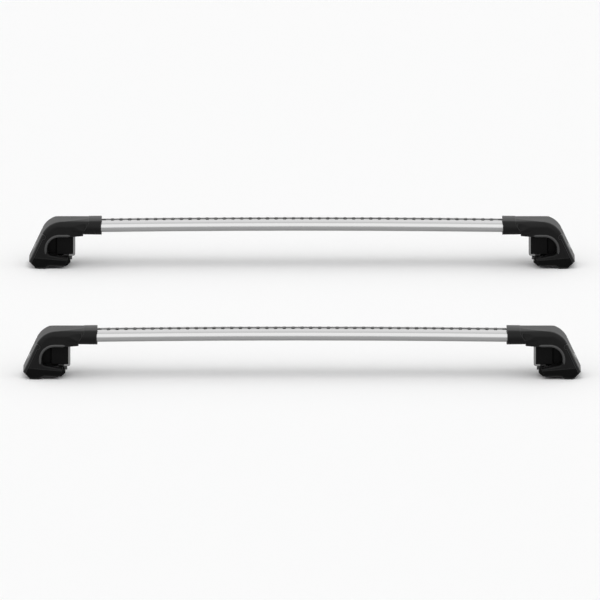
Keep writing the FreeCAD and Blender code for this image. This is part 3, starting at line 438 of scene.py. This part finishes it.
def make_bolt():
    """A socket bolt with its thread as rings, a plain shank and a bevelled head."""
    turning = Turning((BOLT_START, 0, BOLT_HEIGHT), ROOT_RADIUS)
    for _ in range(THREAD_TURNS):
        turning.draw(THREAD_FLANK, BOLT_RADIUS)
        turning.draw(THREAD_FLAT, BOLT_RADIUS)
        turning.draw(THREAD_FLANK, ROOT_RADIUS)
        turning.draw(THREAD_FLAT, ROOT_RADIUS)
    turning.draw(THREAD_FLANK, BOLT_RADIUS)
    turning.draw(BOLT_SEAT - turning.tip.x, BOLT_RADIUS)
    turning.draw(0, HEAD_RADIUS)
    turning.draw(HEAD_LENGTH - HEAD_BEVEL, HEAD_RADIUS)
    turning.draw(HEAD_BEVEL, HEAD_RADIUS - HEAD_BEVEL)
    bolt = turning.finish()
    cut_socket(bolt)
    bpy.ops.object.select_all(action="DESELECT")
    bolt.select_set(True)
    bpy.context.view_layer.objects.active = bolt
    bpy.ops.object.shade_smooth_by_angle(angle=BOLT_SMOOTH)
    return bolt


def cut_socket(bolt):
    """The hexagon in the bolt's head."""
    bpy.ops.object.select_all(action="DESELECT")
    face = BOLT_SEAT + HEAD_LENGTH
    bpy.ops.mesh.primitive_cylinder_add(vertices=SOCKET_SIDES, radius=SOCKET_FLATS / math.sqrt(3),
                                        depth=2 * SOCKET_DEPTH, location=(face, 0, BOLT_HEIGHT),
                                        rotation=ALONG_X)
    key = bpy.context.active_object
    socket = bolt.modifiers.new("socket", "BOOLEAN")
    socket.object = key
    socket.operation = "DIFFERENCE"
    bpy.context.view_layer.objects.active = bolt
    bpy.ops.object.modifier_apply(modifier="socket")
    bpy.data.objects.remove(key)


def place_bolts():
    """A threaded bolt in each foot, in place of the plain one."""
    first = make_bolt()
    first.data.materials.append(FINISHES["fastener_steel"])
    for row in ROWS:
        for side, across in SIDES:
            bolt = mirrored_copy(first, f"{row}_{side}_threaded_bolt", across, 1, row_middle(row))
            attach(bolt, f"{row}_{side}_bolt")
            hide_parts(f"{row}_{side}_clamp_bolt")
    bpy.data.objects.remove(first)


place_bolts()


# Studio: floor, light and camera

FLOOR_SIZE = 120.0
FLOOR_SHADE = 0.93
FILL_LEVEL = 0.24           # of the world's light on matt surfaces
LAMP_REACH = 3.0


def make_floor():
    look = Look("studio_floor", Roughness=0.9, Specular_IOR_Level=0.1)
    look.to("Base Color", grey(FLOOR_SHADE))
    bpy.ops.object.select_all(action="DESELECT")
    bpy.ops.mesh.primitive_plane_add(size=FLOOR_SIZE)
    floor = bpy.context.active_object
    floor.name = "studio_floor"
    floor.data.materials.append(look.material)


def make_world():
    """White to the camera and in reflections, and a dim even light on matt surfaces."""
    world = bpy.data.worlds.new("studio")
    world.use_nodes = True
    nodes, links = world.node_tree.nodes, world.node_tree.links
    background = nodes["Background"]
    background.inputs["Color"].default_value = grey(1)
    path = nodes.new("ShaderNodeLightPath")
    level = path.outputs["Is Camera Ray"]
    for ray in ("Is Glossy Ray", "Is Transmission Ray"):
        either = nodes.new("ShaderNodeMath")
        either.operation = "MAXIMUM"
        links.new(level, either.inputs[0])
        links.new(path.outputs[ray], either.inputs[1])
        level = either.outputs[0]
    share = nodes.new("ShaderNodeMapRange")
    links.new(level, share.inputs["Value"])
    share.inputs["To Min"].default_value = FILL_LEVEL
    share.inputs["To Max"].default_value = 1.0
    links.new(share.outputs["Result"], background.inputs["Strength"])
    bpy.context.scene.world = world


def add_sky_light(name, elevation, spread, strength):
    """Even light from a wide disc of sky on the camera's side; elevation and spread in degrees."""
    light = bpy.data.lights.new(name, "SUN")
    light.angle = math.radians(spread)
    light.energy = strength
    lamp = bpy.data.objects.new(name, light)
    height = math.radians(elevation)
    towards = Vector((0, math.cos(height), -math.sin(height)))
    lamp.rotation_euler = towards.to_track_quat("-Z", "Y").to_euler()
    lamp.location = -LAMP_REACH * towards
    bpy.context.collection.objects.link(lamp)


VIEW_ELEVATION = math.asin(0.2)     # puts the rear bar in the upper half of the picture
VIEW_DISTANCE = 50.0
VIEW_CENTRE = Vector((-0.004, 0, 0.040))
VIEW_LENS = 1500
VIEW_SENSOR = 36
VIEW_NEAR = 1
VIEW_FAR = 300


def add_camera():
    """A long lens, so that the two bars appear almost the same size."""
    lens = bpy.data.cameras.new("camera")
    lens.lens = VIEW_LENS
    lens.sensor_width = VIEW_SENSOR
    lens.clip_start = VIEW_NEAR
    lens.clip_end = VIEW_FAR
    camera = bpy.data.objects.new("camera", lens)
    back = Vector((0, -math.cos(VIEW_ELEVATION), math.sin(VIEW_ELEVATION)))
    camera.location = VIEW_CENTRE + back * VIEW_DISTANCE
    camera.rotation_euler = (-back).to_track_quat("-Z", "Y").to_euler()
    bpy.context.collection.objects.link(camera)
    bpy.context.scene.camera = camera


make_floor()
make_world()
add_sky_light("sky_above", elevation=90, spread=150, strength=1.64)
add_sky_light("sky_front", elevation=45, spread=90, strength=1.18)
add_camera()
bpy.context.scene.view_settings.view_transform = "Standard"
